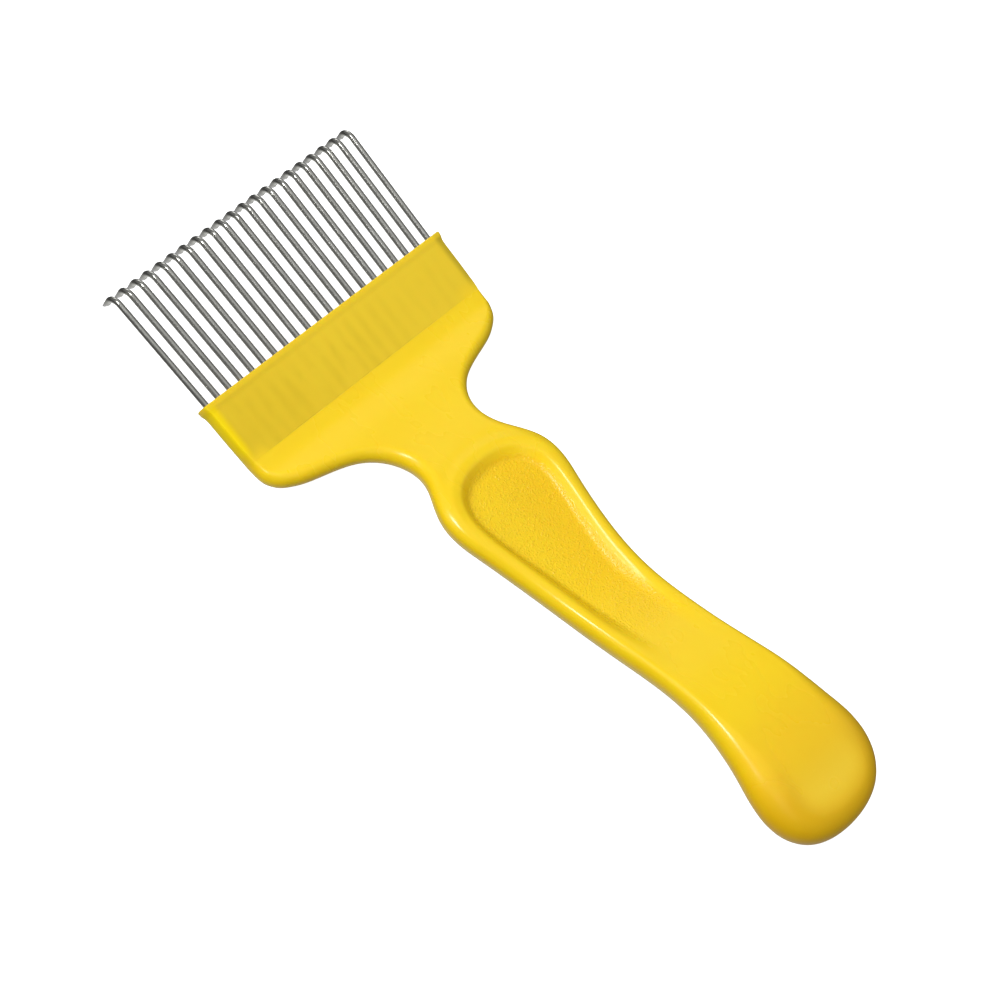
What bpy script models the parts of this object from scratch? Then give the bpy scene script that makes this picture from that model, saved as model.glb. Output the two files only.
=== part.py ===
"""Uncapping fork: a yellow moulded comb handle with 21 bent stainless needles.

Design frame (before the tool is laid down): X across the comb, +Y toward the
needle tips, +Z up, origin at the middle of the comb's front face, on the plane
of the needles. The tool is then pitched about X so that it lies as it does on
a table, on the rear edge of the comb's underside and on the butt of the grip.
All tables are in millimetres; MM turns them into metres.
"""
import math

import bmesh
import bpy
import numpy as np
from mathutils import Matrix, Vector

MM = 0.001

# ---------------------------------------------------------------- needles
NEEDLES = 21
PITCH = 3.88            # centre to centre where they leave the comb
SPLAY = 0.033           # how much wider the row is at the tips
WIRE_R = 0.78           # wire radius
REACH = 33.7            # comb face to the outer side of the bend
BEND_R = 2.5            # centreline radius of the bend
BEND = 97.0             # degrees that the wire turns, a little past square
DROP = 5.8              # needle plane to the end of the tip
BURIED = 16.0           # length held in the comb
BEND_STEPS = 7
TIP_CUT = 52.0          # degrees off square of the sheared tip

SOCKET_R = 1.05         # eight-sided sockets, measured to the corners
SOCKET_DEPTH = 16.4

# ---------------------------------------------------------------- moulding
# Distances run back from the comb's front face.
# Height of the outline above the needle plane: flat comb, then the neck
# climbs to the thumb rest and the grip waves up to the butt.
SPINE = ((0, 0), (17, 0), (22, 1.05), (27, 3.70), (32, 5.95), (38, 8.65),
         (46, 12.56), (55, 15.77), (66, 17.75), (80, 20.32), (96, 25.44),
         (112, 33.80), (126, 40.35), (138, 42.85), (150, 42.85), (163, 41.70))
# Half width of the outline, and a small lip round the comb's front face.
OUTLINE = ((0, 40.72), (5, 40.58), (11, 40.42), (17, 40.20), (20, 40.11),
           (22, 39.79), (23.5, 38.96), (25, 37.58), (26.5, 35.11),
           (28, 31.54), (29.5, 26.08), (31, 21.27), (33, 17.38),
           (35.5, 14.65), (38.5, 12.92), (42, 12.38), (46, 13.53), (50, 16),
           (54, 17.99), (58, 18.68), (62, 18.39), (67, 17.22), (74, 15.55),
           (84, 13.64), (94, 12.47), (104, 12.01), (114, 12.05), (124, 13.11),
           (132, 14.58), (140, 16.22), (147, 17.65), (153, 17.95),
           (158, 18.51), (162, 19.51), (166, 21.68))
LIP = ((0, 0.55), (1.2, 0.45), (2.4, 0.12), (3.4, 0))
BUTT_FROM = 150.0       # the rounded butt starts here
BUTT_END = 165.8        # and ends here
# The outline is the widest line around the moulding. Height of the top above
# it, depth of the underside below it, and how far in from the outline the
# rounding of each reaches.
TOP = ((0, 2.68), (1.2, 2.65), (2.4, 2.5), (17, 2.5), (30, 2.6), (45, 2.7),
       (60, 2.8), (110, 3.0), (135, 4.4), (150, 5.9), (163, 5.9))
TOP_ROUND = ((0, 0.5), (15, 0.6), (21, 1.7), (30, 2.3), (45, 2.8), (60, 3.3),
             (80, 2.8), (110, 2.0), (126, 2.5), (134, 4.0), (142, 5.8), (150, 6.5),
             (163, 6.5))
UNDER = ((0, 2.68), (1.2, 2.65), (2.4, 2.5), (17, 2.5), (30, 3.2), (45, 4.4),
         (60, 5.4), (110, 5.6), (135, 5.8), (150, 5.6), (163, 5.6))
UNDER_ROUND = ((0, 1.6), (17, 1.8), (30, 2.8), (45, 4.2), (60, 5.6),
               (110, 6.0), (135, 7.5), (150, 9.0), (163, 9.0))
# Thumb rest, a shallow dish in the top. Its head is a superellipse: where it
# starts, where it is widest, its half width there and its power. Behind that
# a table of half widths, then the depth along it, the width of its sloping
# wall, and the share of the wall that eases in and out.
DISH_NOSE = (49.2, 61.0, 14.6, 2.3)
DISH = ((55, 13.17), (57, 14.06), (59, 14.49), (61, 14.6), (65, 14.2),
        (70, 13.3), (76, 12.15), (86, 10.65), (98, 9.8), (108, 9.5),
        (118, 9.4))
DISH_DEPTH = ((46, 2.5), (70, 2.6), (86, 2.6), (96, 1.8), (104, 0.9),
              (111, 0.25), (118, 0))
DISH_WALL = ((46, 3.7), (68, 3.8), (88, 4.8), (118, 5.0))
DISH_EASE = 0.35

ROWS_COMB = 34          # sections from the face to the neck's start
ROWS_GRIP = 34          # sections from there to the butt
ROWS_BUTT = 8
ACROSS = 17             # points across one face


def natural_spline(table, q):
    """Natural cubic spline through a table of (station, value)."""
    xs = np.array([row[0] for row in table], float)
    ys = np.array([row[1] for row in table], float)
    q = np.asarray(q, float)
    n, h = len(xs), np.diff(xs)
    a, b = np.eye(n), np.zeros(n)
    for i in range(1, n - 1):
        a[i, i - 1], a[i, i], a[i, i + 1] = h[i - 1], 2 * (h[i - 1] + h[i]), h[i]
        b[i] = 6 * ((ys[i + 1] - ys[i]) / h[i] - (ys[i] - ys[i - 1]) / h[i - 1])
    m = np.linalg.solve(a, b)
    k = np.clip(np.searchsorted(xs, q) - 1, 0, n - 2)
    d, e = q - xs[k], xs[k + 1] - q
    return ((m[k] * e ** 3 + m[k + 1] * d ** 3) / (6 * h[k])
            + (ys[k] / h[k] - m[k] * h[k] / 6) * e
            + (ys[k + 1] / h[k] - m[k + 1] * h[k] / 6) * d)


def monotone(table, q):
    """Monotone cubic through a table of (station, value), flat outside it."""
    xs = np.array([row[0] for row in table], float)
    ys = np.array([row[1] for row in table], float)
    q = np.clip(np.asarray(q, float), xs[0], xs[-1])
    h = np.diff(xs)
    s = np.diff(ys) / h
    m = np.zeros(len(xs))
    m[0], m[-1] = s[0], s[-1]
    for i in range(1, len(xs) - 1):
        if s[i - 1] * s[i] > 0:
            w1, w2 = 2 * h[i] + h[i - 1], h[i] + 2 * h[i - 1]
            m[i] = (w1 + w2) / (w1 / s[i - 1] + w2 / s[i])
    k = np.clip(np.searchsorted(xs, q) - 1, 0, len(xs) - 2)
    t = (q - xs[k]) / h[k]
    return ((2 * t ** 3 - 3 * t ** 2 + 1) * ys[k]
            + (t ** 3 - 2 * t ** 2 + t) * h[k] * m[k]
            + (-2 * t ** 3 + 3 * t ** 2) * ys[k + 1]
            + (t ** 3 - t ** 2) * h[k] * m[k + 1])


def spine_height(back):
    """Height of the outline: level along the comb, a spline behind it."""
    back = np.asarray(back, float)
    return np.where(back <= SPINE[1][0], 0.0, natural_spline(SPINE[1:], back))


def half_width(back):
    """Half width of the outline, closed by an elliptical butt."""
    back = np.asarray(back, float)
    body = natural_spline(OUTLINE, back) + monotone(LIP, back)
    t = np.clip((back - BUTT_FROM) / (BUTT_END - BUTT_FROM), 0.0, 1.0)
    return body * np.sqrt(np.maximum(0.0, 1.0 - t * t))


def dish_half(back):
    """Half width of the thumb rest: a rounded nose, then a long taper."""
    nose, wide, half, power = DISH_NOSE
    t = np.clip((wide - back) / (wide - nose), 0.0, 1.0)
    head = half * (1.0 - t ** power) ** (1.0 / power)
    return np.where(back < 57.0, head, natural_spline(DISH, back))


def dish_wall(r):
    """From 0 to 1 down the wall: an eased start, a straight run, an eased end."""
    a = DISH_EASE
    r = np.clip(r, 0.0, 1.0)
    return np.where(r < a, r * r / (2 * a * (1 - a)),
                    np.where(r > 1 - a, 1 - (1 - r) ** 2 / (2 * a * (1 - a)),
                             (r - a / 2) / (1 - a)))


def distance_to(line_s, line_x, s, x):
    """Shortest distance from points (s, x) to the polyline (line_s, line_x)."""
    a = np.stack([line_s[:-1], line_x[:-1]], -1)
    d = np.stack([np.diff(line_s), np.diff(line_x)], -1)
    dd = (d ** 2).sum(1) + 1e-12
    p = np.stack([s, x], -1)[..., None, :] - a
    t = np.clip((p * d).sum(-1) / dd, 0.0, 1.0)
    return np.sqrt(((p - t[..., None] * d) ** 2).sum(-1)).min(-1)


def moulding_points():
    """Grids of top and bottom points of the moulding, in design millimetres.

    The outline lies on a surface that follows the spine. The top rises from
    it, and the underside falls from it, over a quarter ellipse measured by
    the true distance from the outline, so that the edge is rounded evenly
    around corners too.
    """
    rows = np.concatenate([
        (0.0, 0.7, 1.3, 1.9, 2.6, 4.0, 8.0, 12.5),
        np.linspace(17.0, 48.0, ROWS_COMB),
        np.linspace(48.0, BUTT_FROM, ROWS_GRIP)[1:],
        BUTT_FROM + (BUTT_END - BUTT_FROM)
        * np.sin(np.linspace(0.0, math.pi / 2, ROWS_BUTT + 1))[1:]])
    fine = np.concatenate([
        np.linspace(0.0, 60.0, 400), np.linspace(60.0, BUTT_FROM, 200)[1:],
        BUTT_FROM + (BUTT_END - BUTT_FROM)
        * np.sin(np.linspace(0.0, math.pi / 2, 80))[1:]])
    fz = spine_height(fine)
    fs = np.concatenate([[0.0], np.cumsum(np.hypot(np.diff(fine), np.diff(fz)))])
    fw = half_width(fine)
    # the outline's end on the centre line closes it
    s = np.interp(rows, fine, fs)
    z = spine_height(rows)
    slope = np.interp(rows, fine, np.gradient(fz, fine))
    w = half_width(rows)
    across = np.sin(np.linspace(-math.pi / 2, math.pi / 2, ACROSS))
    x = w[:, None] * across[None, :]
    ss = np.repeat(s[:, None], ACROSS, 1)
    edge = distance_to(fs, fw, ss, np.abs(x))

    def rounded(height, reach):
        k = np.clip(edge / monotone(reach, rows)[:, None], 0.0, 1.0)
        return (monotone(height, rows)[:, None]
                * np.sqrt(np.maximum(0.0, 1.0 - (1.0 - k) ** 2)))

    # thumb dish
    dish_rows = (DISH_NOSE[0] + (DISH[-1][0] - DISH_NOSE[0])
                 * np.linspace(0.0, 1.0, 240) ** 2)
    dish_w = dish_half(dish_rows)
    dish_s = np.interp(dish_rows, fine, fs)
    inside = ((np.abs(x) < np.interp(rows, dish_rows, dish_w, left=0, right=0)[:, None])
              & (rows[:, None] > dish_rows[0]) & (rows[:, None] < dish_rows[-1]))
    rim = distance_to(dish_s, dish_w, ss, np.abs(x))
    wall = monotone(DISH_WALL, rows)[:, None]
    dish = (np.where(inside, dish_wall(rim / wall), 0.0)
            * monotone(DISH_DEPTH, rows)[:, None])
    nrm = np.stack([np.zeros_like(slope), slope, np.ones_like(slope)], -1)
    nrm /= np.linalg.norm(nrm, axis=1)[:, None]
    mid = np.stack([x, np.repeat(-rows[:, None], ACROSS, 1),
                    np.repeat(z[:, None], ACROSS, 1)], -1)
    top = mid + nrm[:, None, :] * (rounded(TOP, TOP_ROUND) - dish)[..., None]
    low = mid - nrm[:, None, :] * rounded(UNDER, UNDER_ROUND)[..., None]
    return top, low


def make_material(name, colour, roughness, metallic):
    mat = bpy.data.materials.new(name)
    mat.use_nodes = True
    bsdf = mat.node_tree.nodes["Principled BSDF"]
    bsdf.inputs["Base Color"].default_value = (*colour, 1.0)
    bsdf.inputs["Roughness"].default_value = roughness
    bsdf.inputs["Metallic"].default_value = metallic
    return mat


def new_object(name, mesh, collection):
    obj = bpy.data.objects.new(name, mesh)
    collection.objects.link(obj)
    return obj


def make_moulding(collection):
    """The moulding as a closed loft: rings of sections from face to butt."""
    top, low = moulding_points()
    bm = bmesh.new()
    rings = []
    for i in range(len(top) - 1):
        ring = [bm.verts.new(p * MM) for p in top[i]]
        ring += [bm.verts.new(p * MM) for p in low[i][-2:0:-1]]
        rings.append(ring)
    n = len(rings[0])
    for a, b in zip(rings, rings[1:]):
        for j in range(n):
            k = (j + 1) % n
            bm.faces.new((a[j], a[k], b[k], b[j]))
    bm.faces.new(rings[0][::-1])
    end = bm.verts.new(Vector(top[-1].mean(axis=0)) * MM)
    for j in range(n):
        bm.faces.new((rings[-1][j], rings[-1][(j + 1) % n], end))
    bmesh.ops.recalc_face_normals(bm, faces=bm.faces)
    mesh = bpy.data.meshes.new("handle")
    bm.to_mesh(mesh)
    bm.free()
    return new_object("handle", mesh, collection)


def needle_matrix(index):
    """Where needle number index leaves the comb, and its small splay."""
    x = (index - (NEEDLES - 1) / 2) * PITCH
    turn = -math.atan2(x * SPLAY, REACH)
    return Matrix.Translation((x * MM, 0.0, 0.0)) @ Matrix.Rotation(turn, 4, "Z")


def needle_path():
    """Centreline: straight wire, a bend downward, a short straight tip."""
    centre = REACH - WIRE_R - BEND_R
    path = [(0.0, -BURIED, 0.0), (0.0, 0.0, 0.0)]
    for i in range(BEND_STEPS + 1):
        a = math.radians(BEND) * i / BEND_STEPS
        path.append((0.0, centre + BEND_R * math.sin(a),
                     -BEND_R + BEND_R * math.cos(a)))
    a = math.radians(BEND)
    run = (DROP + path[-1][2] + WIRE_R * math.cos(a)) / math.sin(a)
    path.append((0.0, path[-1][1] + run * math.cos(a),
                 path[-1][2] - run * math.sin(a)))
    return path


def make_needle_mesh():
    curve = bpy.data.curves.new("needle_path", "CURVE")
    curve.dimensions = "3D"
    curve.bevel_depth = WIRE_R * MM
    curve.bevel_resolution = 2
    curve.use_fill_caps = True
    spline = curve.splines.new("POLY")
    path = needle_path()
    spline.points.add(len(path) - 1)
    for point, co in zip(spline.points, path):
        point.co = (co[0] * MM, co[1] * MM, co[2] * MM, 1.0)
    obj = bpy.data.objects.new("needle_path", curve)
    bpy.context.scene.collection.objects.link(obj)
    bpy.context.view_layer.update()
    deps = bpy.context.evaluated_depsgraph_get()
    mesh = bpy.data.meshes.new_from_object(obj.evaluated_get(deps))
    bpy.data.objects.remove(obj)
    bm = bmesh.new()
    bm.from_mesh(mesh)
    bmesh.ops.remove_doubles(bm, verts=bm.verts, dist=1e-6)
    # the sheared tip: its end ring slides back along the wire, most on the
    # side of the comb, so that the point is on the outer side
    a = math.radians(BEND)
    along = Vector((0.0, math.cos(a), -math.sin(a)))
    outward = Vector((0.0, math.sin(a), math.cos(a)))
    end = Vector(path[-1]) * MM
    for vert in bm.verts:
        offset = vert.co - end
        if abs(offset.dot(along)) < 1e-5 and offset.length < 2 * WIRE_R * MM:
            back = (WIRE_R * MM - offset.dot(outward)) * math.tan(math.radians(TIP_CUT))
            vert.co -= along * back
    bmesh.ops.recalc_face_normals(bm, faces=bm.faces)
    bm.to_mesh(mesh)
    bm.free()
    mesh.name = "needle"
    return mesh


def make_sockets(collection):
    """One cutter object holding the row of blind sockets."""
    bm = bmesh.new()
    depth = SOCKET_DEPTH + 1.0
    for index in range(NEEDLES):
        place = (needle_matrix(index)
                 @ Matrix.Translation((0.0, (1.0 - depth / 2) * MM, 0.0))
                 @ Matrix.Rotation(math.pi / 2, 4, "X"))
        bmesh.ops.create_cone(
            bm, cap_ends=True, segments=8, radius1=SOCKET_R * MM,
            radius2=SOCKET_R * MM, depth=depth * MM,
            matrix=place @ Matrix.Rotation(math.pi / 8, 4, "Z"))
    bmesh.ops.recalc_face_normals(bm, faces=bm.faces)
    mesh = bpy.data.meshes.new("sockets")
    bm.to_mesh(mesh)
    bm.free()
    cutter = new_object("sockets", mesh, collection)
    cutter.hide_render = True
    cutter.display_type = "WIRE"
    return cutter


def resting_pitch(points):
    """Pitch that lays the tool on its two lowest places, front and back.

    points are (y, z). The lower hull's edge that passes under the middle of
    the moulding is the line that it rests on.
    """
    pts = sorted(set((round(float(y), 9), round(float(z), 9)) for y, z in points))
    hull = []
    for p in pts:
        while len(hull) > 1:
            (ax, ay), (bx, by) = hull[-2], hull[-1]
            if (bx - ax) * (p[1] - ay) - (by - ay) * (p[0] - ax) <= 0:
                hull.pop()
            else:
                break
        hull.append(p)
    middle = sum(y for y, _ in points) / len(points)
    for (ax, ay), (bx, by) in zip(hull, hull[1:]):
        if ax <= middle <= bx:
            return -math.atan2(by - ay, bx - ax)
    return 0.0


def main():
    for obj in list(bpy.data.objects):
        bpy.data.objects.remove(obj, do_unlink=True)
    scene = bpy.context.scene
    parts = bpy.data.collections.new("uncapping_fork")
    cutters = bpy.data.collections.new("cutters")
    scene.collection.children.link(parts)
    scene.collection.children.link(cutters)

    yellow = make_material("yellow_plastic", (0.95, 0.62, 0.02), 0.35, 0.0)
    steel = make_material("needle_steel", (0.56, 0.56, 0.52), 0.28, 1.0)

    handle = make_moulding(parts)
    handle.data.materials.append(yellow)
    outline = [(v.co.y, v.co.z) for v in handle.data.vertices]

    sockets = make_sockets(cutters)
    cut = handle.modifiers.new("sockets", "BOOLEAN")
    cut.operation = "DIFFERENCE"
    cut.solver = "EXACT"
    cut.object = sockets

    needle = make_needle_mesh()
    needle.materials.append(steel)
    needles = []
    for index in range(NEEDLES):
        obj = new_object("needle_%02d" % (index + 1), needle, parts)
        obj.matrix_basis = needle_matrix(index)
        needles.append(obj)
    for mesh in (handle.data, needle):
        mesh.shade_smooth()
        mesh.set_sharp_from_angle(angle=math.radians(40))

    # Lay the tool down: pitch it, then put the box's bottom centre at the origin.
    pitch = resting_pitch(outline)
    turn = Matrix.Rotation(pitch, 4, "X")
    corners = [turn @ v.co for v in handle.data.vertices]
    for obj in needles:
        corners += [turn @ obj.matrix_basis @ v.co for v in needle.vertices]
    low = Vector([min(c[i] for c in corners) for i in range(3)])
    high = Vector([max(c[i] for c in corners) for i in range(3)])
    laid = bpy.data.objects.new("resting_frame", None)
    parts.objects.link(laid)
    laid.location = (-(low.x + high.x) / 2, -(low.y + high.y) / 2, -low.z)
    laid.rotation_euler = (pitch, 0.0, 0.0)
    for obj in [handle, sockets] + needles:
        obj.parent = laid
    bpy.context.view_layer.update()


main()
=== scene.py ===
"""Looks of the uncapping fork: one yellow moulding and 21 bent steel needles.

Everything is built in the design frame (X across the comb, +Y toward the
needle tips, +Z up, origin at the middle of the comb's front face, tables in
millimetres), then laid down into the row frame by one rigid move.
"""

import math

import bmesh
import bpy
import numpy as np
from mathutils import Matrix, Vector
from mathutils.geometry import delaunay_2d_cdt


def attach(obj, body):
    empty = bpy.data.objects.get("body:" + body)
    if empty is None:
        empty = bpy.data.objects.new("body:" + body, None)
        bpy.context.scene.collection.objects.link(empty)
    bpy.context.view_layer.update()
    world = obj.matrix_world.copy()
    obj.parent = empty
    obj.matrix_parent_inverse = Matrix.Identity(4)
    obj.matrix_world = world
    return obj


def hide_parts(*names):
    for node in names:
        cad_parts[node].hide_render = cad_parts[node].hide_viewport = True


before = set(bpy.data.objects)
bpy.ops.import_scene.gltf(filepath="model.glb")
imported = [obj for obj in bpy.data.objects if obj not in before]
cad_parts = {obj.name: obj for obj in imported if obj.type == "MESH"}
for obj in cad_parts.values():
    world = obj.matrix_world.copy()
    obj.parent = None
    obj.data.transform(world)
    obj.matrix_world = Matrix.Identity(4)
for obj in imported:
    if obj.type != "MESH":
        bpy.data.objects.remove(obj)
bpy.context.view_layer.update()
scene = bpy.context.scene

MM = 0.001

# ------------------------------------------------------------------ the frame
# The tool lies on the rear edge of the comb's underside and on its butt.
LAID_PITCH = math.radians(15.571629914452528)
LAID = Matrix.Translation((0.0, 0.0687718540430069, 0.007554147392511368)) \
    @ Matrix.Rotation(LAID_PITCH, 4, "X")

# ---------------------------------------------------------------- the needles
NEEDLES = 21
PITCH = 3.88
SPLAY = 0.033
WIRE_R = 0.78
REACH = 33.7
BEND_R = 2.5
BEND = 97.0
DROP = 5.8
BURIED = 16.0
TIP_CUT = 52.0
SOCKET_R = 0.85
SOCKET_DEPTH = 16.25

# --------------------------------------------------------------- the moulding
SPINE = ((0, 0), (17, 0), (22, 1.05), (27, 3.70), (32, 5.95), (38, 8.65),
         (46, 12.56), (55, 15.77), (66, 17.75), (80, 20.32), (96, 25.44),
         (112, 33.80), (126, 40.35), (138, 42.85), (150, 42.85), (163, 41.70))
OUTLINE = ((0, 40.72), (5, 40.58), (11, 40.42), (17, 40.20), (20, 40.11),
           (22, 39.79), (23.5, 38.96), (25, 37.58), (26.5, 35.11),
           (28, 31.54), (29.5, 26.08), (31, 21.27), (33, 17.38),
           (35.5, 14.65), (38.5, 12.92), (42, 12.38), (46, 13.53), (50, 16),
           (54, 17.99), (58, 18.68), (62, 18.39), (67, 17.22), (74, 15.55),
           (84, 13.64), (94, 12.47), (104, 12.01), (114, 12.05), (124, 13.11),
           (132, 14.58), (140, 16.22), (147, 17.65), (153, 17.95),
           (158, 18.51), (162, 19.51), (166, 21.68))
LIP = ((0, 0.55), (1.2, 0.45), (2.4, 0.12), (3.4, 0))
BUTT_FROM = 150.0
BUTT_END = 165.79
TOP = ((0, 2.68), (1.2, 2.65), (2.4, 2.5), (17, 2.5), (30, 2.6), (45, 2.7),
       (60, 2.8), (110, 3.0), (135, 4.4), (150, 5.9), (163, 5.9))
TOP_ROUND = ((0, 0.5), (15, 0.6), (21, 1.7), (30, 2.3), (45, 2.8), (60, 3.3),
             (80, 2.8), (110, 2.0), (126, 2.5), (134, 4.0), (142, 5.8), (150, 6.5),
             (163, 6.5))
UNDER = ((0, 2.68), (1.2, 2.65), (2.4, 2.5), (17, 2.5), (30, 3.2), (45, 4.4),
         (60, 5.4), (110, 5.6), (135, 5.8), (150, 5.6), (163, 5.6))
UNDER_ROUND = ((0, 1.6), (17, 1.8), (30, 2.8), (45, 4.2), (60, 5.6),
               (110, 6.0), (135, 7.5), (150, 9.0), (163, 9.0))
DISH_NOSE = (49.2, 61.0, 14.6, 2.3)
DISH = ((55, 13.17), (57, 14.06), (59, 14.49), (61, 14.6), (65, 14.2),
        (70, 13.3), (76, 12.15), (86, 10.65), (98, 9.8), (108, 9.5),
        (118, 9.4))
DISH_DEPTH = ((46, 2.5), (70, 2.6), (86, 2.6), (96, 1.8), (104, 0.9),
              (111, 0.25), (118, 0))
DISH_WALL = ((46, 3.7), (68, 3.8), (88, 4.8), (118, 5.0))
DISH_EASE = 0.35

FRONT_R = 0.40          # rounding of the edges around the front face
CREASE_AT = 17.0        # the strip over the needles ends in a fine crease
CREASE_DEEP = 0.075
CREASE_WIDE = 0.30
SHOULDER = 0.16         # soft ridge around the head end of the thumb rest


def natural_spline(table, q):
    xs = np.array([row[0] for row in table], float)
    ys = np.array([row[1] for row in table], float)
    q = np.asarray(q, float)
    n, h = len(xs), np.diff(xs)
    a, b = np.eye(n), np.zeros(n)
    for i in range(1, n - 1):
        a[i, i - 1], a[i, i], a[i, i + 1] = h[i - 1], 2 * (h[i - 1] + h[i]), h[i]
        b[i] = 6 * ((ys[i + 1] - ys[i]) / h[i] - (ys[i] - ys[i - 1]) / h[i - 1])
    m = np.linalg.solve(a, b)
    k = np.clip(np.searchsorted(xs, q) - 1, 0, n - 2)
    d, e = q - xs[k], xs[k + 1] - q
    return ((m[k] * e ** 3 + m[k + 1] * d ** 3) / (6 * h[k])
            + (ys[k] / h[k] - m[k] * h[k] / 6) * e
            + (ys[k + 1] / h[k] - m[k + 1] * h[k] / 6) * d)


def monotone(table, q):
    xs = np.array([row[0] for row in table], float)
    ys = np.array([row[1] for row in table], float)
    q = np.clip(np.asarray(q, float), xs[0], xs[-1])
    h = np.diff(xs)
    s = np.diff(ys) / h
    m = np.zeros(len(xs))
    m[0], m[-1] = s[0], s[-1]
    for i in range(1, len(xs) - 1):
        if s[i - 1] * s[i] > 0:
            w1, w2 = 2 * h[i] + h[i - 1], h[i] + 2 * h[i - 1]
            m[i] = (w1 + w2) / (w1 / s[i - 1] + w2 / s[i])
    k = np.clip(np.searchsorted(xs, q) - 1, 0, len(xs) - 2)
    t = (q - xs[k]) / h[k]
    return ((2 * t ** 3 - 3 * t ** 2 + 1) * ys[k]
            + (t ** 3 - 2 * t ** 2 + t) * h[k] * m[k]
            + (-2 * t ** 3 + 3 * t ** 2) * ys[k + 1]
            + (t ** 3 - t ** 2) * h[k] * m[k + 1])


def spine_height(back):
    back = np.asarray(back, float)
    return np.where(back <= SPINE[1][0], 0.0, natural_spline(SPINE[1:], back))


def half_width(back):
    back = np.asarray(back, float)
    t = np.clip((back - BUTT_FROM) / (BUTT_END - BUTT_FROM), 0.0, 1.0)
    return ((natural_spline(OUTLINE, back) + monotone(LIP, back))
            * np.sqrt(np.maximum(0.0, 1.0 - t * t)))


def dish_half(back):
    """Half width of the thumb rest: a rounded nose, then a long taper."""
    nose, wide, half, power = DISH_NOSE
    t = np.clip((wide - back) / (wide - nose), 0.0, 1.0)
    head = half * (1.0 - t ** power) ** (1.0 / power)
    return np.where(back < 57.0, head, natural_spline(DISH, back))


def dish_wall(r):
    """From 0 to 1 down the wall: an eased start, a straight run, an eased end."""
    a = DISH_EASE
    r = np.clip(r, 0.0, 1.0)
    return np.where(r < a, r * r / (2 * a * (1 - a)),
                    np.where(r > 1 - a, 1 - (1 - r) ** 2 / (2 * a * (1 - a)),
                             (r - a / 2) / (1 - a)))


def smooth(lo, hi, v):
    t = np.clip((np.asarray(v, float) - lo) / (hi - lo), 0.0, 1.0)
    return t * t * (3 - 2 * t)


def distance_to(line_s, line_x, s, x):
    """Shortest distance from points (s, x) to a polyline, a few rows at a time."""
    a = np.stack([line_s[:-1], line_x[:-1]], -1)
    d = np.stack([np.diff(line_s), np.diff(line_x)], -1)
    dd = (d ** 2).sum(1) + 1e-12
    out = np.empty(s.shape)
    for i in range(0, len(s), 8):
        p = np.stack([s[i:i + 8], x[i:i + 8]], -1)[..., None, :] - a
        t = np.clip((p * d).sum(-1) / dd, 0.0, 1.0)
        out[i:i + 8] = np.sqrt(((p - t[..., None] * d) ** 2).sum(-1)).min(-1)
    return out


# Sections, from the front face to the butt. Close together where the shape
# turns: the front edge, the lip, the crease, the corners and the neck.
front = FRONT_R * (1 - np.cos(np.linspace(0.0, math.pi / 2, 7)))
ROWS = np.concatenate([
    front, np.linspace(FRONT_R, 3.0, 12)[1:], np.linspace(3.0, 16.2, 17)[1:],
    np.linspace(16.2, 17.8, 21)[1:], np.linspace(17.8, 48.0, 140)[1:],
    np.linspace(48.0, 62.0, 44)[1:], np.linspace(62.0, 118.0, 92)[1:],
    np.linspace(118.0, BUTT_FROM, 44)[1:],
    BUTT_FROM + (BUTT_END - BUTT_FROM)
    * np.sin(np.linspace(0.0, math.pi / 2, 37))[1:]])
EDGE_STEPS = 11
MIDDLE_STEPS = 84

fine = np.concatenate([
    np.linspace(0.0, 60.0, 500), np.linspace(60.0, BUTT_FROM, 220)[1:],
    BUTT_FROM + (BUTT_END - BUTT_FROM)
    * np.sin(np.linspace(0.0, math.pi / 2, 120))[1:]])
fine_z = spine_height(fine)
fine_s = np.concatenate([[0.0], np.cumsum(np.hypot(np.diff(fine), np.diff(fine_z)))])
fine_w = half_width(fine)


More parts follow.
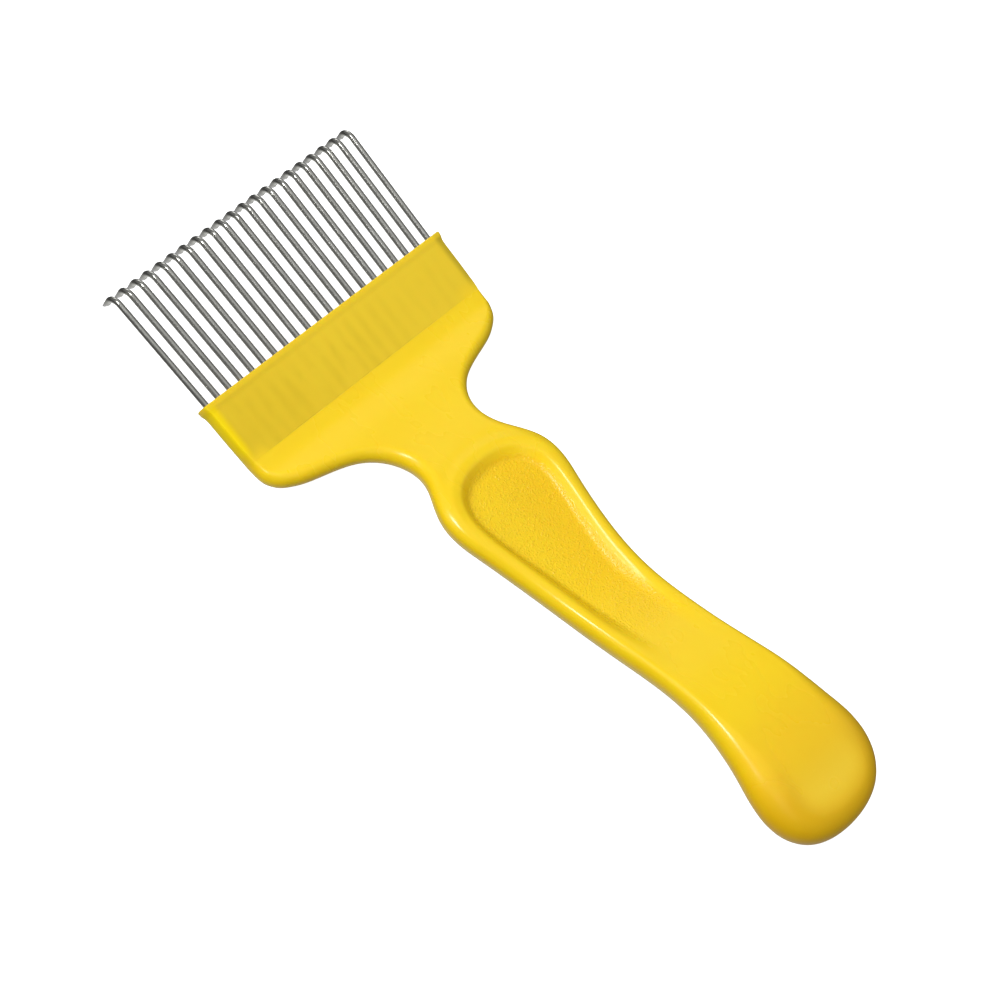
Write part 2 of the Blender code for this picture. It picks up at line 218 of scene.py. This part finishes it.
def face_grid(height, reach, is_top):
    """Design points, and masks, of the top or the underside of the moulding."""
    w = half_width(ROWS)
    ring = np.minimum(monotone(reach, ROWS), 0.9 * w)
    edge = ring[:, None] * (1 - np.cos(np.linspace(0, math.pi / 2, EDGE_STEPS + 1)))
    left = -w[:, None] + edge
    u = np.linspace(-1, 1, MIDDLE_STEPS + 1)[1:-1]
    u = 0.55 * u + 0.45 * np.sin(math.pi / 2 * u)
    mid = (w - ring)[:, None] * u[None, :]
    x = np.concatenate([left, mid, -left[:, ::-1]], 1)
    n = x.shape[1]
    s = np.interp(ROWS, fine, fine_s)
    ss = np.repeat(s[:, None], n, 1)
    e = distance_to(fine_s, fine_w, ss, np.abs(x))
    k = np.clip(e / monotone(reach, ROWS)[:, None], 0.0, 1.0)
    up = monotone(height, ROWS)[:, None] * np.sqrt(np.maximum(0.0, 1 - (1 - k) ** 2))
    # the edges around the front face are rounded
    f = np.clip(1 - ROWS / FRONT_R, 0.0, 1.0)
    inset = FRONT_R * (1 - np.sqrt(np.maximum(0.0, 1 - f * f)))
    x = x * ((w - inset) / np.maximum(w, 1e-6))[:, None]
    h = monotone(height, ROWS)
    up = up * ((h - inset) / h)[:, None]
    # the crease across the comb, fading before the sides
    line = CREASE_DEEP * np.exp(-((ROWS[:, None] - CREASE_AT) / (0.5 * CREASE_WIDE)) ** 2)
    line = line * (1 - smooth(30.0, 35.5, np.abs(x)))
    rr = np.zeros_like(x)
    wall = np.zeros_like(x)
    if is_top:
        # thumb rest, and the soft ridge around its head end
        dr = DISH_NOSE[0] + (DISH[-1][0] - DISH_NOSE[0]) * np.linspace(0, 1, 420) ** 2
        dw = dish_half(dr)
        ds = np.interp(dr, fine, fine_s)
        rim = distance_to(ds, dw, ss, np.abs(x))
        inside = ((np.abs(x) < np.interp(ROWS, dr, dw, left=0, right=0)[:, None])
                  & (ROWS[:, None] > dr[0]) & (ROWS[:, None] < dr[-1]))
        up = up - np.where(inside, dish_wall(rim / monotone(DISH_WALL, ROWS)[:, None]), 0.0) \
            * monotone(DISH_DEPTH, ROWS)[:, None]
        # painted shade: the wall mask marks the left half of the thumb rest's wall, fading toward its
        # tail, which the colour darkens
        wall = np.where(inside, smooth(0.2, 1.5, rim) * (1 - smooth(2.9, 5.2, rim)), 0.0)
        wall = wall * (1 - smooth(-6.0, 7.0, x)) * (1 - smooth(92.0, 108.0, ROWS))[:, None]
        rr = np.where(inside, smooth(1.8, 2.8, rim), 0.0)
        rr = rr * (1 - smooth(96.0, 112.0, ROWS))[:, None]
        ridge = np.where(inside, 0.0, np.exp(-((rim - 1.3) / 1.0) ** 2)
                         - 0.35 * np.exp(-((rim - 3.6) / 1.0) ** 2))
        ridge = ridge * (1 - smooth(53.0, 60.0, ROWS))[:, None] \
            * smooth(0.4, 2.4, e)
        up = up + SHOULDER * ridge
    # painted shade: this mask marks the butt's rounded rim, which the plastic's colour darkens
    butt = (1 - smooth(4.5, 11.5, e)) * smooth(139.0, 152.0, ROWS)[:, None]
    up = 0.996 * (up - line)      # the fine skin stays a hair inside the plain one
    z = spine_height(ROWS)
    slope = np.interp(ROWS, fine, np.gradient(fine_z, fine))
    nrm = np.stack([np.zeros_like(slope), slope, np.ones_like(slope)], -1)
    nrm /= np.linalg.norm(nrm, axis=1)[:, None]
    base = np.stack([x, np.repeat(-ROWS[:, None], n, 1), np.repeat(z[:, None], n, 1)], -1)
    sign = 1.0 if is_top else -1.0
    return base + sign * nrm[:, None, :] * up[..., None], rr, butt, wall


def needle_matrix(index):
    x = (index - (NEEDLES - 1) / 2) * PITCH
    turn = -math.atan2(x * SPLAY, REACH)
    return Matrix.Translation((x, 0.0, 0.0)) @ Matrix.Rotation(turn, 4, "Z")


# ---------------------------------------------------------------- mesh helpers
def finish_mesh(name, verts, faces, extra=(), sharp=40.0):
    """An object of a mesh given in design millimetres, laid into the row frame.

    The design coordinates stay on its points as an attribute, in millimetres,
    for the materials' patterns.
    """
    co = np.asarray(verts, float)
    m = np.array(LAID)
    world = co * MM @ m[:3, :3].T + m[:3, 3]
    mesh = bpy.data.meshes.new(name)
    mesh.from_pydata([tuple(p) for p in world], [], faces)
    mesh.validate()
    a = mesh.attributes.new("design", "FLOAT_VECTOR", "POINT")
    a.data.foreach_set("vector", co.astype(np.float32).ravel())
    for key, values in extra:
        b = mesh.attributes.new(key, "FLOAT", "POINT")
        b.data.foreach_set("value", np.asarray(values, np.float32))
    bm = bmesh.new()
    bm.from_mesh(mesh)
    bmesh.ops.recalc_face_normals(bm, faces=bm.faces)
    bm.to_mesh(mesh)
    bm.free()
    mesh.shade_smooth()
    mesh.set_sharp_from_angle(angle=math.radians(sharp))
    obj = bpy.data.objects.new(name, mesh)
    scene.collection.objects.link(obj)
    return obj


def build_moulding():
    top, rest, top_rim_shade, side = face_grid(TOP, TOP_ROUND, True)
    low, _, under_rim_shade, _ = face_grid(UNDER, UNDER_ROUND, False)
    verts, faces, dish, rim, wall = [], [], [], [], []
    rings = []
    for i in range(len(ROWS) - 1):
        start = len(verts)
        ring = list(top[i]) + list(low[i][-2:0:-1])
        verts += ring
        dish += list(rest[i]) + [0.0] * (len(ring) - len(rest[i]))
        rim += list(top_rim_shade[i]) + list(under_rim_shade[i][-2:0:-1])
        wall += list(side[i]) + [0.0] * (len(ring) - len(side[i]))
        rings.append(range(start, start + len(ring)))
    n = len(rings[0])
    for a, b in zip(rings, rings[1:]):
        for j in range(n):
            k = (j + 1) % n
            faces.append((a[j], a[k], b[k], b[j]))
    verts.append(top[-1].mean(axis=0))
    dish.append(0.0)
    end = len(verts) - 1
    last = rings[-1]
    for j in range(n):
        faces.append((last[j], last[(j + 1) % n], end))
    # the front face, pierced by the needles' sockets
    points = [Vector((verts[i][0], verts[i][2])) for i in rings[0]]
    edges = [(i, (i + 1) % n) for i in range(n)]
    sides = 20
    sockets = []
    for index in range(NEEDLES):
        place = needle_matrix(index)
        start = len(points)
        ring = []
        for j in range(sides):
            a = 2 * math.pi * j / sides
            p = place @ Vector((SOCKET_R * math.cos(a), 0.0, SOCKET_R * math.sin(a)))
            points.append(Vector((p.x, p.z)))
            ring.append(start + j)
        edges += [(ring[j], ring[(j + 1) % sides]) for j in range(sides)]
        sockets.append(ring)
    # a few points inside keep the face's triangles well shaped
    for index in range(NEEDLES + 1):
        x = (index - NEEDLES / 2) * PITCH
        if abs(x) < 40:
            points.append(Vector((x, 0.0)))
    got, _, tris, origin, _, _ = delaunay_2d_cdt(points, edges, [], 0, 1e-7)
    index_of = {}
    for i, p in enumerate(got):
        source = [k for k in origin[i] if k < n]
        if source:
            index_of[i] = rings[0][source[0]]
        else:
            index_of[i] = len(verts)
            verts.append(np.array((p.x, 0.0, p.y)))
            dish.append(0.0)
    outline = np.array([(verts[i][0], verts[i][2]) for i in rings[0]])

    def within(q):
        x0, z0 = outline[:, 0], outline[:, 1]
        x1, z1 = np.roll(x0, -1), np.roll(z0, -1)
        hit = (z0 > q[1]) != (z1 > q[1])
        cross = x0 + (q[1] - z0) / np.where(hit, z1 - z0, 1.0) * (x1 - x0)
        return (np.count_nonzero(hit & (q[0] < cross)) % 2) == 1

    centres = [(needle_matrix(i) @ Vector((0, 0, 0))).x for i in range(NEEDLES)]
    for tri in tris:
        c = (got[tri[0]] + got[tri[1]] + got[tri[2]]) / 3
        if not within(c):
            continue
        if any(math.hypot(c.x - x, c.y) < SOCKET_R * 0.985 for x in centres):
            continue
        faces.append(tuple(index_of[i] for i in tri))
    # the sockets themselves
    of_point = {}
    for i, source in enumerate(origin):
        for k in source:
            of_point[k] = index_of[i]
    for index, ring in enumerate(sockets):
        place = needle_matrix(index)
        rings_in = [[of_point[i] for i in ring]]
        for depth, radius in ((SOCKET_DEPTH, SOCKET_R),):
            start = len(verts)
            for j in range(sides):
                a = 2 * math.pi * j / sides
                p = place @ Vector((radius * math.cos(a), -depth, radius * math.sin(a)))
                verts.append(np.array(p))
                dish.append(0.0)
            rings_in.append(list(range(start, start + sides)))
        for a, b in zip(rings_in, rings_in[1:]):
            for j in range(sides):
                faces.append((a[j], a[(j + 1) % sides], b[(j + 1) % sides], b[j]))
        faces.append(tuple(rings_in[-1]))
    rim += [1.0] + [0.0] * (len(verts) - len(rim) - 1)
    wall += [0.0] * (len(verts) - len(wall))
    obj = finish_mesh("comb_handle", verts, faces,
                      [("dish", dish), ("rim", rim), ("wall", wall)])
    return obj


def needle_line():
    """Centreline points, their directions, and how far along the wire they are."""
    centre = REACH - WIRE_R - BEND_R
    pts = [(-BURIED, 0.0), (-8.0, 0.0), (-0.8, 0.0), (0.8, 0.0)]
    pts += [(y, 0.0) for y in np.linspace(4.0, centre, 9)]
    dirs = [(1.0, 0.0)] * len(pts)
    steps = 18
    for i in range(1, steps + 1):
        a = math.radians(BEND) * i / steps
        pts.append((centre + BEND_R * math.sin(a), -BEND_R + BEND_R * math.cos(a)))
        dirs.append((math.cos(a), -math.sin(a)))
    a = math.radians(BEND)
    run = (DROP + pts[-1][1] + WIRE_R * math.cos(a)) / math.sin(a)
    bend_end = pts[-1]
    for share in (0.35, 0.6, 1.0):
        pts.append((bend_end[0] + share * run * math.cos(a),
                    bend_end[1] - share * run * math.sin(a)))
        dirs.append((math.cos(a), -math.sin(a)))
    return pts, dirs


def build_needle(index, steel):
    """A drawn wire of 24 sides, bent smoothly, with a sheared and dressed tip."""
    sides = 24
    pts, dirs = needle_line()
    place = needle_matrix(index)
    rng = np.random.RandomState(700 + index)
    tilt = math.radians(rng.uniform(-0.10, 0.10))
    verts, local, along, faces, rings = [], [], [], [], []
    shear = math.tan(math.radians(TIP_CUT))
    a_end = math.radians(BEND)
    travelled = 0.0
    for i, ((y, z), (dy, dz)) in enumerate(zip(pts, dirs)):
        if i:
            travelled += math.hypot(y - pts[i - 1][0], z - pts[i - 1][1])
        start = len(verts)
        for j in range(sides):
            t = 2 * math.pi * j / sides
            # outward is the side away from the comb, below the bend
            ox, oo = math.cos(t), math.sin(t)
            py = y - WIRE_R * oo * dz
            pz = z + WIRE_R * oo * dy
            px = WIRE_R * ox
            if i == len(pts) - 1:
                back = (WIRE_R - WIRE_R * oo) * shear
                py -= back * math.cos(a_end)
                pz += back * math.sin(a_end)
            verts.append((px, py, pz))
            local.append(t)
            along.append(travelled)
        rings.append(list(range(start, start + sides)))
    # the last rings before the cut lean with it, so that none crosses it
    cut = rings[-1]
    lean = (0.55, 0.88)
    for ring, share in zip(rings[-3:-1], lean):
        for j in range(sides):
            v = np.array(verts[ring[j]])
            e = np.array(verts[cut[j]])
            base = np.array(verts[rings[-4][j]])
            verts[ring[j]] = tuple(base + (e - base) * share)
    # a narrow dressed edge around the sheared face, then the face
    centre = np.mean([verts[k] for k in cut], axis=0)
    start = len(verts)
    for k in cut:
        v = np.array(verts[k])
        verts.append(tuple(v + (centre - v) * 0.10
                           + np.array((0.0, math.cos(a_end), -math.sin(a_end))) * 0.012))
        along.append(travelled)
    inner = list(range(start, start + sides))
    for ra, rb in zip(rings, rings[1:]):
        for j in range(sides):
            k = (j + 1) % sides
            faces.append((ra[j], ra[k], rb[k], rb[j]))
    for j in range(sides):
        k = (j + 1) % sides
        faces.append((cut[j], cut[k], inner[k], inner[j]))
    faces.append(tuple(inner))
    faces.append(tuple(rings[0][::-1]))
    flex = Matrix.Rotation(tilt, 4, "Z")
    world = [place @ flex @ Vector(v) for v in verts]
    obj = finish_mesh("wire_%02d" % (index + 1), world, faces,
                      [("along", along), ("seed", [index * 7.31] * len(verts))],
                      sharp=32.0)
    obj.data.materials.append(steel)
    return obj


# ------------------------------------------------------------------- materials
MAIN_PALE = (0.955, 0.665, 0.010, 1.0)
MAIN_DEEP = (0.935, 0.635, 0.006, 1.0)
MAIN_WARM_SHADE = (0.900, 0.545, 0.002, 1.0)
MAIN_EDGE_SHADE = (0.650, 0.355, 0.001, 1.0)
STRIP = (0.865, 0.612, 0.018, 1.0)
STRIP_DEEP = (0.725, 0.500, 0.006, 1.0)
STRIP_LEFT_LIT = (1.000, 0.760, 0.003, 1.0)
BUTT_TOP_LIT = (1.000, 0.668, 0.028, 1.0)
STRIP_RIGHT_SHADE = (0.500, 0.360, 0.004, 1.0)


class Nodes:
    """Small helper that adds and wires shader nodes."""

    def __init__(self, name):
        self.mat = bpy.data.materials.new(name)
        self.mat.use_nodes = True
        self.tree = self.mat.node_tree
        self.bsdf = self.tree.nodes["Principled BSDF"]

    def add(self, kind, **settings):
        node = self.tree.nodes.new(kind)
        for key, value in settings.items():
            setattr(node, key, value)
        return node

    def link(self, a, b):
        self.tree.links.new(a, b)

    def put(self, socket, value):
        if isinstance(value, bpy.types.NodeSocket):
            self.link(value, socket)
        else:
            socket.default_value = value

    def math(self, operation, a, b=0.0, clamp=False):
        node = self.add("ShaderNodeMath", operation=operation, use_clamp=clamp)
        self.put(node.inputs[0], a)
        if len(node.inputs) > 1:
            self.put(node.inputs[1], b)
        return node.outputs[0]

    def ramp(self, value, lo, hi, to_lo=0.0, to_hi=1.0):
        node = self.add("ShaderNodeMapRange", interpolation_type="SMOOTHSTEP")
        self.put(node.inputs["Value"], value)
        node.inputs["From Min"].default_value = lo
        node.inputs["From Max"].default_value = hi
        node.inputs["To Min"].default_value = to_lo
        node.inputs["To Max"].default_value = to_hi
        return node.outputs["Result"]

    def noise(self, vector, scale, detail=2.0, rough=0.5, stretch=None, distortion=0.0):
        if stretch is not None:
            m = self.add("ShaderNodeVectorMath", operation="MULTIPLY")
            self.link(vector, m.inputs[0])
            m.inputs[1].default_value = stretch
            vector = m.outputs[0]
        node = self.add("ShaderNodeTexNoise")
        self.link(vector, node.inputs["Vector"])
        node.inputs["Scale"].default_value = scale
        node.inputs["Detail"].default_value = detail
        node.inputs["Roughness"].default_value = rough
        node.inputs["Distortion"].default_value = distortion
        return node.outputs["Fac"]

    def mix(self, factor, a, b, blend="MIX"):
        node = self.add("ShaderNodeMix", data_type="RGBA", blend_type=blend)
        self.put(node.inputs[0], factor)
        self.put(node.inputs[6], a)
        self.put(node.inputs[7], b)
        return node.outputs[2]

    def attribute(self, name):
        return self.add("ShaderNodeAttribute", attribute_name=name,
                        attribute_type="GEOMETRY")

    def bump(self, height, distance, strength=1.0, normal=None):
        node = self.add("ShaderNodeBump")
        node.inputs["Strength"].default_value = strength
        node.inputs["Distance"].default_value = distance
        self.put(node.inputs["Height"], height)
        if normal is not None:
            self.link(normal, node.inputs["Normal"])
        return node.outputs["Normal"]


def yellow_plastic():
    m = Nodes("yellow_moulded_plastic")
    design = m.attribute("design").outputs["Vector"]
    dish = m.attribute("dish").outputs["Fac"]
    split = m.add("ShaderNodeSeparateXYZ")
    m.link(design, split.inputs[0])
    x, y, z = split.outputs
    across = m.math("ABSOLUTE", x)

    # The strip over the needles: the buried steel dulls the plastic above it.
    # Its rear edge is the crease; toward the comb's ends it fades out instead.
    sharp = m.ramp(y, -CREASE_AT - 0.10, -CREASE_AT + 0.14)
    soft = m.ramp(y, -CREASE_AT - 1.0, -CREASE_AT + 4.5)
    ends = m.ramp(across, 31.0, 36.5)
    strip = m.math("ADD", m.math("MULTIPLY", sharp, m.math("SUBTRACT", 1.0, ends)),
                   m.math("MULTIPLY", soft, ends))
    # painted highlight: the strip eases off along the front lip, leaving a thin brighter yellow edge
    lip = m.ramp(y, -1.7, -0.9)
    strip = m.math("MULTIPLY", strip, m.math("SUBTRACT", 1.0, m.math("MULTIPLY", lip, 0.60)))
    # one soft streak per needle, broken up and fading out toward the front
    widen = m.math("MULTIPLY_ADD", y, SPLAY / REACH)
    widen.node.inputs[2].default_value = 1.0
    u = m.math("DIVIDE", x, m.math("MULTIPLY", widen, PITCH))
    wander = m.noise(design, 0.16, 2.0, 0.5, stretch=(1.0, 0.5, 1.0))
    u = m.math("ADD", u, m.math("MULTIPLY", m.math("SUBTRACT", wander, 0.5), 0.55))
    wave = m.math("COSINE", m.math("MULTIPLY", u, 2 * math.pi))
    wave = m.math("MULTIPLY_ADD", wave, 0.5)
    wave.node.inputs[2].default_value = 0.5
    patch = m.noise(design, 0.21, 2.0, 0.55, stretch=(1.0, 0.6, 1.0))
    wave = m.math("MULTIPLY", wave, m.ramp(patch, 0.34, 0.66, 0.10, 1.0))
    wave = m.math("MULTIPLY", wave, m.ramp(y, -1.0, -8.0, 0.25, 1.0))
    wave = m.math("MULTIPLY", wave, m.ramp(x, 26.0, -4.0, 0.35, 1.0))
    wave = m.math("MULTIPLY", wave, strip)
    # broad darker patches toward the strip's rear, and the ends beyond the last
    # needles: the left end's flank painted lighter as light, the right end painted darker as shade
    rear = m.math("MULTIPLY", m.ramp(y, -6.0, -13.5), m.ramp(x, 30.0, -25.0))
    cloudy = m.noise(design, 0.10, 2.0, 0.5)
    rear = m.math("MULTIPLY", rear, m.ramp(cloudy, 0.30, 0.62, 0.25, 1.0))
    rear = m.math("MULTIPLY", rear, strip)
    left = m.math("MULTIPLY", m.ramp(x, -37.6, -39.6), strip)
    right = m.math("MULTIPLY", m.ramp(x, 37.8, 39.6), strip)

    cloud = m.noise(design, 0.05, 3.0, 0.55)
    base = m.mix(m.ramp(cloud, 0.15, 0.85), MAIN_DEEP, MAIN_PALE)
    # painted shade: the butt's rounded rim is darkened in the colour
    rim = m.attribute("rim").outputs["Fac"]
    base = m.mix(m.math("MULTIPLY", rim, 0.90), base, MAIN_EDGE_SHADE)
    # painted shade on the left half of the thumb rest's wall
    wall = m.attribute("wall").outputs["Fac"]
    base = m.mix(m.math("MULTIPLY", wall, 0.22), base, MAIN_EDGE_SHADE)
    # painted shade: a warmer, darker band across the grip ahead of the butt
    warm_shade_band = m.ramp(y, -126.0, -142.0)
    base = m.mix(m.math("MULTIPLY", warm_shade_band, 0.60), base, MAIN_WARM_SHADE)
    # painted light: the butt's top, inside its rim, is made lighter
    butt_top_light = m.math("MULTIPLY", m.ramp(y, -145.0, -156.0), m.math("SUBTRACT", 1.0, rim))
    base = m.mix(butt_top_light, base, BUTT_TOP_LIT)
    # painted shade: the thumb rest's floor is warmer and darker, most on its right
    dish_warm_shade = m.math("MULTIPLY", m.math("MULTIPLY", dish, 0.62), m.ramp(x, -8.0, 6.0, 0.12, 1.0))
    base = m.mix(dish_warm_shade, base, MAIN_WARM_SHADE)
    base = m.mix(strip, base, STRIP)
    shade = m.math("MULTIPLY", m.ramp(x, 5.0, -38.0), strip)
    base = m.mix(m.math("MULTIPLY", shade, 0.50), base, STRIP_DEEP)
    base = m.mix(m.math("MULTIPLY", wave, 0.60), base, STRIP_DEEP)
    base = m.mix(m.math("MULTIPLY", rear, 0.38), base, STRIP_DEEP)
    # painted light on the comb's left flank
    base = m.mix(m.math("MULTIPLY", left, 0.70), base, STRIP_LEFT_LIT)
    # painted shade along the comb's right edge
    base = m.mix(m.math("MULTIPLY", right, 0.85), base, STRIP_RIGHT_SHADE)
    m.link(base, m.bsdf.inputs["Base Color"])

    smear = m.noise(design, 0.16, 2.0, 0.5, stretch=(1.0, 0.35, 1.0))
    rough = m.ramp(smear, 0.15, 0.85, 0.24, 0.31)
    rough = m.math("ADD", rough, m.math("MULTIPLY", dish, 0.05))
    rough = m.math("ADD", rough, m.math("MULTIPLY", strip, 0.10))
    rough = m.math("ADD", rough, m.math("MULTIPLY", rim, 0.10))
    # a little glossier along the grip's left shoulder, which sharpens the light's
    # line there; this is fitted, and not a sign of wear
    left_gloss = m.math("MULTIPLY", m.ramp(x, -6.0, -11.0), m.ramp(y, -48.0, -60.0))
    rough = m.math("SUBTRACT", rough, m.math("MULTIPLY", left_gloss, 0.05))
    m.link(rough, m.bsdf.inputs["Roughness"])

    # stippled thumb rest
    fine_grain = m.noise(design, 1.7, 1.0, 0.5)
    coarse_grain = m.noise(design, 0.8, 1.0, 0.5)
    stipple = m.math("MULTIPLY", m.ramp(fine_grain, 0.44, 0.70), m.ramp(coarse_grain, 0.3, 0.6, 0.55, 1.0))
    stipple = m.math("MULTIPLY", stipple, dish)
    normal = m.bump(stipple, 0.00009, 1.0)
    m.link(normal, m.bsdf.inputs["Normal"])

    b = m.bsdf.inputs
    b["Metallic"].default_value = 0.0
    b["IOR"].default_value = 1.49
    level = m.math("SUBTRACT", 1.0, m.math("MULTIPLY", left, 0.75))
    m.link(m.math("MULTIPLY", level, 0.62), b["Specular IOR Level"])
    b["Subsurface Weight"].default_value = 0.12
    b["Subsurface Radius"].default_value = (1.0, 0.45, 0.04)
    b["Subsurface Scale"].default_value = 0.0016
    return m.mat


def needle_steel():
    m = Nodes("drawn_steel_wire")
    design = m.attribute("design").outputs["Vector"]
    along = m.attribute("along").outputs["Fac"]
    seed = m.attribute("seed").outputs["Fac"]
    shift = m.add("ShaderNodeCombineXYZ")
    m.link(seed, shift.inputs[0])
    m.link(seed, shift.inputs[1])
    m.link(seed, shift.inputs[2])
    moved = m.add("ShaderNodeVectorMath", operation="ADD")
    m.link(design, moved.inputs[0])
    m.link(shift.outputs[0], moved.inputs[1])
    place = moved.outputs[0]

    drawn = m.noise(place, 3.4, 3.0, 0.6, stretch=(1.0, 0.035, 1.0))
    mottle = m.noise(place, 0.55, 2.0, 0.55)
    base = m.mix(m.ramp(drawn, 0.3, 0.7), (0.60, 0.60, 0.555, 1.0),
                 (0.71, 0.71, 0.67, 1.0))
    base = m.mix(m.math("MULTIPLY", m.ramp(mottle, 0.45, 0.75), 0.30), base,
                 (0.56, 0.555, 0.51, 1.0))
    # painted reflection: the bent tips are made paler, standing in for the bright surroundings they
    # reflect
    tip = m.ramp(along, BURIED + REACH + 1.0, BURIED + REACH + 3.0)
    base = m.mix(m.math("MULTIPLY", tip, 0.95), base, (0.97, 0.97, 0.955, 1.0))
    m.link(base, m.bsdf.inputs["Base Color"])
    rough = m.ramp(drawn, 0.25, 0.75, 0.16, 0.24)
    rough = m.math("ADD", rough, m.math("MULTIPLY", tip, 0.12))
    m.link(rough, m.bsdf.inputs["Roughness"])
    normal = m.bump(drawn, 0.000012, 0.6)
    m.link(normal, m.bsdf.inputs["Normal"])
    m.bsdf.inputs["Metallic"].default_value = 1.0
    return m.mat


# --------------------------------------------------------------- the two parts
plastic = yellow_plastic()
steel = needle_steel()

handle = build_moulding()
handle.data.materials.append(plastic)
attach(handle, "root")
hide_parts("handle")

for number in range(NEEDLES):
    wire = build_needle(number, steel)
    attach(wire, "root")
    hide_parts("needle_%02d" % (number + 1))

# ----------------------------------------------------------- camera and studio
# The viewing direction and distance, in the row frame.
RIGHT = Vector((0.6438743660871517, -0.7195321739713841, 0.2601907455710965))
UP = Vector((0.5373961077728049, 0.6673420761621276, 0.5156160816418861))
BACK = Vector((-0.5446386178435284, -0.1921664837630989, 0.8163582459617))

cam = bpy.data.objects.new("camera", bpy.data.cameras.new("camera"))
scene.collection.objects.link(cam)
turn = Matrix((RIGHT, UP, BACK)).transposed().to_4x4()
cam.matrix_world = Matrix.Translation((-0.4239937595, -0.1413114022, 0.6390819178)) @ turn
cam.data.sensor_width = 36.0
cam.data.lens = 119.991
cam.data.clip_start = 0.01
cam.data.clip_end = 20.0
scene.camera = cam


def add_light(name, toward, distance, size, power, colour=(1.0, 1.0, 1.0), aim=(0.0, 0.0, 0.02)):
    """A soft rectangular lamp, in the direction toward as seen from aim."""
    data = bpy.data.lights.new(name, "AREA")
    data.shape = "RECTANGLE"
    data.size, data.size_y = size
    data.energy = power
    data.color = colour
    lamp = bpy.data.objects.new(name, data)
    scene.collection.objects.link(lamp)
    direction = Vector(toward).normalized()
    lamp.location = Vector(aim) + direction * distance
    lamp.rotation_mode = "QUATERNION"
    lamp.rotation_quaternion = direction.to_track_quat("Z", "Y")
    return lamp


def toward(azimuth, elevation):
    a, e = math.radians(azimuth), math.radians(elevation)
    return (math.cos(e) * math.cos(a), math.cos(e) * math.sin(a), math.sin(e))


# one long softbox that shows in the plastic's gloss, large washes that do not,
# and weak cards that leave a soft sheen on the neck, the butt and the hooks
add_light("key_light", toward(156, 55), 1.2, (0.42, 0.14), 5.2)
for name, azimuth, elevation, power in (
        ("wash_left", 150, 32, 4.3), ("wash_front", 95, 38, 2.0),
        ("wash_right", -20, 33, 0.9), ("wash_back", -124, 46, 3.8)):
    lamp = add_light(name, toward(azimuth, elevation), 1.2, (0.6, 0.6), power)
    lamp.visible_glossy = False
add_light("card_butt", toward(-38, 47), 1.2, (0.7, 0.7), 0.25)
add_light("card_neck", toward(51, 30), 1.2, (0.7, 0.7), 0.6)
add_light("card_tips", toward(56, 13), 1.2, (0.5, 0.35), 0.9)


def build_world():
    """A dim pale room: a little brighter overhead, darkest below the horizon."""
    world = bpy.data.worlds.new("studio")
    world.use_nodes = True
    tree = world.node_tree
    coord = tree.nodes.new("ShaderNodeTexCoord")
    parts = tree.nodes.new("ShaderNodeSeparateXYZ")
    tree.links.new(coord.outputs["Generated"], parts.inputs[0])
    curve = tree.nodes.new("ShaderNodeMapRange")
    curve.inputs["From Min"].default_value = -1.0
    curve.inputs["From Max"].default_value = 1.0
    tree.links.new(parts.outputs[2], curve.inputs["Value"])
    ramp = tree.nodes.new("ShaderNodeValToRGB")
    tree.links.new(curve.outputs["Result"], ramp.inputs["Fac"])
    stops = ((0.00, 0.75), (0.10, 0.42), (0.24, 0.09), (0.48, 0.06), (0.54, 0.14),
             (0.90, 0.21), (0.95, 0.40), (1.00, 0.58))
    table = ramp.color_ramp
    while len(table.elements) < len(stops):
        table.elements.new(0.5)
    for element, (where, value) in zip(table.elements, stops):
        element.position = where
        element.color = (value, value, value, 1.0)
    background = tree.nodes["Background"]
    tree.links.new(ramp.outputs["Color"], background.inputs[0])
    background.inputs[1].default_value = 1.0
    return world


scene.world = build_world()


def build_floor():
    """A wide pale sheet that the tool lies on."""
    n, half = 24, 2.4
    verts, faces = [], []
    for i in range(n + 1):
        for j in range(n + 1):
            x = -half + 2 * half * i / n
            y = -half + 2 * half * j / n
            verts.append((x, y, -0.00002))
    for i in range(n):
        for j in range(n):
            a = i * (n + 1) + j
            faces.append((a, a + n + 1, a + n + 2, a + 1))
    mesh = bpy.data.meshes.new("studio_floor")
    mesh.from_pydata(verts, [], faces)
    obj = bpy.data.objects.new("studio_floor", mesh)
    scene.collection.objects.link(obj)
    m = Nodes("pale_floor")
    where = m.add("ShaderNodeTexCoord").outputs["Object"]
    tone = m.noise(where, 3.0, 2.0, 0.5)
    m.link(m.mix(m.ramp(tone, 0.3, 0.7), (0.80, 0.80, 0.80, 1.0), (0.82, 0.82, 0.82, 1.0)),
           m.bsdf.inputs["Base Color"])
    m.bsdf.inputs["Roughness"].default_value = 0.9
    m.bsdf.inputs["Specular IOR Level"].default_value = 0.1
    m.bsdf.inputs["Emission Color"].default_value = (1.0, 1.0, 1.0, 1.0)
    m.bsdf.inputs["Emission Strength"].default_value = 0.85
    mesh.materials.append(m.mat)
    obj.visible_glossy = False
    obj.visible_diffuse = False
    return obj


floor = build_floor()

scene.view_settings.view_transform = "Standard"
scene.view_settings.look = "None"
